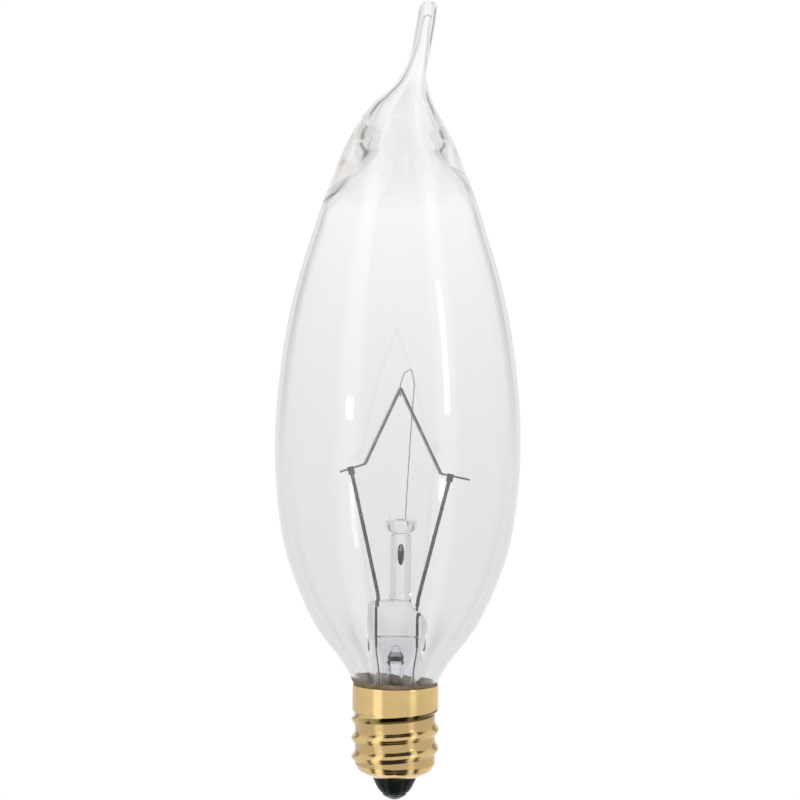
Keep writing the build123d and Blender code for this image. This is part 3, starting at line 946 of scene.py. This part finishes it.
class BULB_OT_cement(Operator):
    """Fill the ring between neck and shell with baked cement"""

    bl_idname = "bulb.cement"
    bl_label = "Cement"

    def execute(self, context):
        brim, seat = 15.66, 5.52
        body = [(4.79, 9.8), (5.07, 9.8), (5.07, 12.68), (5.5, 13.2), (5.5, 15.3), (5.58, brim)]
        body += [(5.6, brim + 0.2), (5.59, brim + 0.5), (5.57, brim + 0.8), (5.55, brim + 1.0)]
        body += [(5.53, brim + 0.8), (5.53, brim + 0.4), (5.53, brim), (5.36, 15.3), (5.2, 14.7)]
        body += [(4.98, 13.6), (4.82, 12.4), (4.79, 9.8)]
        bm = bmesh.new()
        for vert in turn(bm, body):
            point = vert.co / MM
            if point.z < brim - 0.01:
                continue
            around = atan2(point.x, -point.y)
            z = brim + (point.z - brim) * (0.6 - 0.35 * sin(around))
            radius = hypot(point.x, point.y)
            share = (level(NECK, z) + radius - seat) / radius
            vert.co = Vector((point.x * share, point.y * share, z)) * MM
        bmesh.ops.recalc_face_normals(bm, faces=bm.faces)
        # Painted light: the cement inside the shell and round the neck takes a lighter tone against the shade
        # it stands in, and only the bead's outer face above the rim keeps the darker brown
        for face in bm.faces:
            middle = face.calc_center_median()
            outwards = face.normal.dot(middle * Vector((1, 1, 0))) > 0
            face.material_index = int(outwards and middle.z > brim * MM)
        # The lighter cement is painted light for the parts in shade
        baked = dull_material("baked cement", (0.62, 0.52, 0.38), (0.48, 0.39, 0.27), 0.85, 900.0, 0.5)
        scorched = dull_material("scorched cement", (0.33, 0.25, 0.15), (0.2, 0.15, 0.085), 0.85, 900.0, 0.5)
        finish_piece(bm, "cement_ring", "base_cement", "cement", baked, scorched)
        return {"FINISHED"}


class BULB_OT_stage(Operator):
    """Set the pale floor, the soft lights and the camera of the photograph"""

    bl_idname = "bulb.stage"
    bl_label = "Stage"

    def execute(self, context):
        stage = context.scene.bulb_stage
        context.scene.view_settings.view_transform = "Standard"
        self.world(context.scene, stage)
        self.floor(stage)
        self.screen(stage)
        self.softbox("left_softbox", -46.3, (0.9, 5.1), 6.5, 3.5)
        self.softbox("right_softbox", 47.5, (2.0, 24.0), 5.0, 3.0)
        self.camera(context.scene, stage)
        return {"FINISHED"}

    def backdrop_light(self, tree):
        """One where a ray comes straight from the camera, a reflection or the glass."""
        path = tree.nodes.new("ShaderNodeLightPath")
        kinds = ("Camera", "Glossy", "Transmission")
        return largest(tree, [path.outputs[f"Is {kind} Ray"] for kind in kinds])

    def world(self, scene, stage):
        """Plain even light, and white where the background is seen."""
        scene.world = bpy.data.worlds.new("studio")
        scene.world.use_nodes = True
        tree = scene.world.node_tree
        light = tree.nodes["Background"]
        light.inputs["Color"].default_value = WHITE
        light.inputs["Strength"].default_value = stage.even_light
        white = add_node(tree, "ShaderNodeBackground", {"Color": WHITE, "Strength": 1.0})
        shaders = (light.outputs["Background"], white.outputs["Background"])
        mix_shaders(tree, self.backdrop_light(tree), *shaders, tree.nodes["World Output"])

    def floor(self, stage):
        """A pale floor below the held bulb that still takes its shadow."""
        bm = bmesh.new()
        bmesh.ops.create_grid(bm, x_segments=8, y_segments=8, size=FLOOR_SIZE)
        bmesh.ops.translate(bm, verts=bm.verts, vec=(0, 0, -stage.floor_drop))
        tone = (stage.floor_tone, stage.floor_tone, stage.floor_tone, 1)
        material, tree, shader = new_material(
            "pale floor", Base_Color=tone, Roughness=0.9, Specular_IOR_Level=0.0
        )
        glow = add_node(tree, "ShaderNodeEmission", {"Color": WHITE})
        share = add_node(tree, "ShaderNodeMath", {1: stage.floor_glow}, operation="MULTIPLY")
        both = tree.nodes.new("ShaderNodeAddShader")
        link(
            tree,
            (self.backdrop_light(tree), share.inputs[0]),
            (share.outputs["Value"], glow.inputs["Strength"]),
            (shader.outputs["BSDF"], both.inputs[0]),
            (glow.outputs["Emission"], both.inputs[1]),
            (both.outputs["Shader"], tree.nodes["Material Output"].inputs["Surface"]),
        )
        piece = new_object(bm, "floor", material)

    def screen(self, stage):
        """A curved card that shows in glass and metal alone."""
        floor = [0.002, 0.02, 0.035, 0.05, 0.065, 0.08, 0.095, 0.11, 0.13, 0.16, 0.2, 0.3, 0.45]
        outline = [(away, CARD_FLOOR) for away in floor]
        outline += [(CARD_RADIUS, CARD_FLOOR + 0.07 * i) for i in range(14)]
        outline += [(0.5, 0.88), (0.4, 0.95), (0.25, 1.02), (0.05, 1.1)]
        start = Matrix.Rotation(radians(-CARD_HALF_TURN), 3, "Z")
        bm = bmesh.new()
        line = [bm.verts.new(start @ Vector((0, -away, height))) for away, height in outline]
        edges = [bm.edges.new(pair) for pair in zip(line, line[1:])]
        whole = radians(2 * CARD_HALF_TURN)
        bmesh.ops.spin(bm, geom=line + edges, cent=(0, 0, 0), axis=(0, 0, 1), angle=whole, steps=220)
        shade = bm.verts.layers.float.new("grey")
        for vert in bm.verts:
            vert[shade] = self.card_grey((vert.co - Vector((0, 0, 8 * MM))).normalized(), stage)
        material, tree, shader = new_material("shaded card", Base_Color=(0, 0, 0, 1), Roughness=1.0)
        shader.inputs["Specular IOR Level"].default_value = 0.0
        shader.inputs["Emission Strength"].default_value = 1.0
        tone = add_node(tree, "ShaderNodeAttribute", attribute_name="grey")
        tree.links.new(tone.outputs["Color"], shader.inputs["Emission Color"])
        piece = new_object(bm, "shaded_card", material)
        piece.visible_camera = False
        piece.visible_diffuse = False
        piece.visible_shadow = False

    def card_grey(self, away, stage):
        """Brightness of the card in a direction: pale, with two grey flags beside the backdrop, dark overhead
        and underneath, and two bright strips in front."""
        side = atan2(away.x, -away.y)
        turned_by = abs(degrees(side))
        rise = degrees(asin(away.z))
        flag = fade(turned_by, 126, 10) * (1 - fade(turned_by, 145, 4)) * fade(rise, 0, 3)
        grey = stage.card_tone - stage.flag_depth * flag
        overhead = fade(rise, 45 - 8 * abs(sin(side)), 12)
        beneath = fade(-rise, 50 - 12 * abs(sin(side)) + 20 * max(0.0, -cos(side)), 12)
        grey += (CARD_DARK - grey) * max(overhead, beneath)
        facing = degrees(atan2(away.x, cos(stage.elevation) - away.y))
        for middle, half, bright in CARD_STRIPS:
            grey += (bright - grey) * (1 - fade(abs(facing - middle), half - 1.5, 3))
        return grey

    def softbox(self, name, side, rise, width, radiance):
        """An area light that faces the bulb from a side angle, between two heights given as angles."""
        low, high = rise
        side, middle = radians(side), radians((low + high) / 2)
        lamp = bpy.data.lights.new(name, "AREA")
        lamp.shape = "RECTANGLE"
        lamp.size = 2 * SOFTBOX_REACH * tan(radians(width / 2))
        lamp.size_y = 2 * SOFTBOX_REACH * tan(radians((high - low) / 2))
        lamp.energy = radiance * pi * lamp.size * lamp.size_y
        light = bpy.data.objects.new(name, lamp)
        bpy.context.scene.collection.objects.link(light)
        away = Vector((sin(side) * cos(middle), -cos(side) * cos(middle), sin(middle)))
        light.location = SOFTBOX_TARGET + away * SOFTBOX_REACH
        light.rotation_euler = (-away).to_track_quat("-Z", "Y").to_euler()

    def camera(self, scene, stage):
        """The camera at the photograph's height, distance and framing."""
        lens = bpy.data.cameras.new("camera")
        lens.sensor_width = SENSOR_WIDTH
        lens.lens = SENSOR_WIDTH * stage.scale * stage.distance / MM / PICTURE_WIDTH
        lens.clip_end = 20.0
        camera = bpy.data.objects.new("camera", lens)
        scene.collection.objects.link(camera)
        away = Vector((0, -cos(stage.elevation), sin(stage.elevation)))
        camera.location = CAMERA_TARGET + away * stage.distance
        facing = (-away).to_track_quat("-Z", "Y").to_matrix().to_4x4()
        camera.rotation_euler = (facing @ Matrix.Rotation(stage.roll, 4, "Z")).to_euler()
        scene.camera = camera


OPERATORS = (
    BULB_OT_stage, BULB_OT_envelope, BULB_OT_stem, BULB_OT_rod, BULB_OT_leads, BULB_OT_sealed_wires,
    BULB_OT_filament, BULB_OT_support, BULB_OT_shell, BULB_OT_insulator, BULB_OT_contacts, BULB_OT_cement,
)
SETTINGS = {
    "bulb_glass": BulbGlassSettings,
    "bulb_mount": BulbMountSettings,
    "bulb_base": BulbBaseSettings,
    "bulb_stage": BulbStageSettings,
}


class BULB_PT_panel(Panel):
    bl_idname = "BULB_PT_panel"
    bl_label = "Flame-tip bulb"
    bl_space_type = "VIEW_3D"
    bl_region_type = "UI"
    bl_category = "Bulb"

    def draw(self, context):
        for name, group in SETTINGS.items():
            box = self.layout.box()
            for setting in group.__annotations__:
                box.prop(getattr(context.scene, name), setting)
        for operator in OPERATORS:
            self.layout.operator(operator.bl_idname)


def register():
    for group in SETTINGS.values():
        bpy.utils.register_class(group)
    for name, group in SETTINGS.items():
        setattr(bpy.types.Scene, name, PointerProperty(type=group))
    for operator in OPERATORS:
        bpy.utils.register_class(operator)
    bpy.utils.register_class(BULB_PT_panel)


def unregister():
    bpy.utils.unregister_class(BULB_PT_panel)
    for operator in reversed(OPERATORS):
        bpy.utils.unregister_class(operator)
    for name, group in SETTINGS.items():
        delattr(bpy.types.Scene, name)
        bpy.utils.unregister_class(group)


def main():
    register()
    bpy.ops.bulb.stage()
    bpy.ops.bulb.envelope()
    bpy.ops.bulb.stem()
    bpy.ops.bulb.rod()
    bpy.ops.bulb.leads()
    bpy.ops.bulb.sealed_wires()
    bpy.ops.bulb.filament()
    bpy.ops.bulb.support()
    bpy.ops.bulb.shell()
    bpy.ops.bulb.insulator()
    bpy.ops.bulb.contacts()
    bpy.ops.bulb.cement()


if __name__ == "__main__":
    main()
